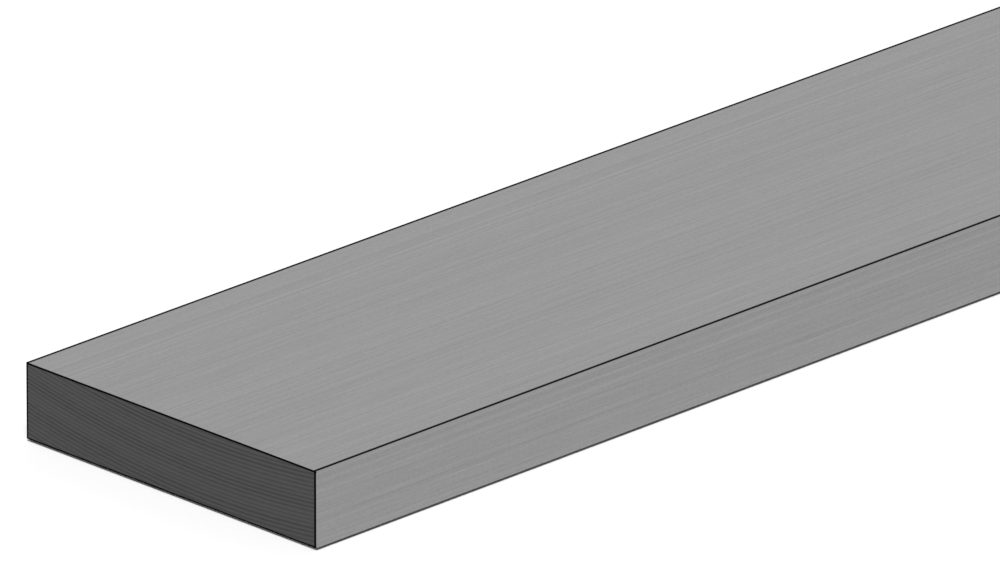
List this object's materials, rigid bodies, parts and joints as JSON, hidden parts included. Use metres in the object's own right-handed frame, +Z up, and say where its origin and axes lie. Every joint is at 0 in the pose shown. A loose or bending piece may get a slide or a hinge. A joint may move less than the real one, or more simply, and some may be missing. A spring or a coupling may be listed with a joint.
{
  "type": "metal flat bar",
  "caption": "Solid rectangular metal bar stock with square corners, flat faces and plain sawn ends, for cutting, drilling, bending or welding into straps, brackets and frames.",
  "frame": {"origin": "middle of the underside, which is one of the two wide faces", "axes": "+X along the bar, +Y across its wide faces, +Z up through its thickness"},
  "size_m": [1, 0.05, 0.01],
  "materials": {
    "drawn_steel": "satin"
  },
  "bodies": {
    "root": {"flat_bar": "drawn_steel"}
  },
  "joints": []
}
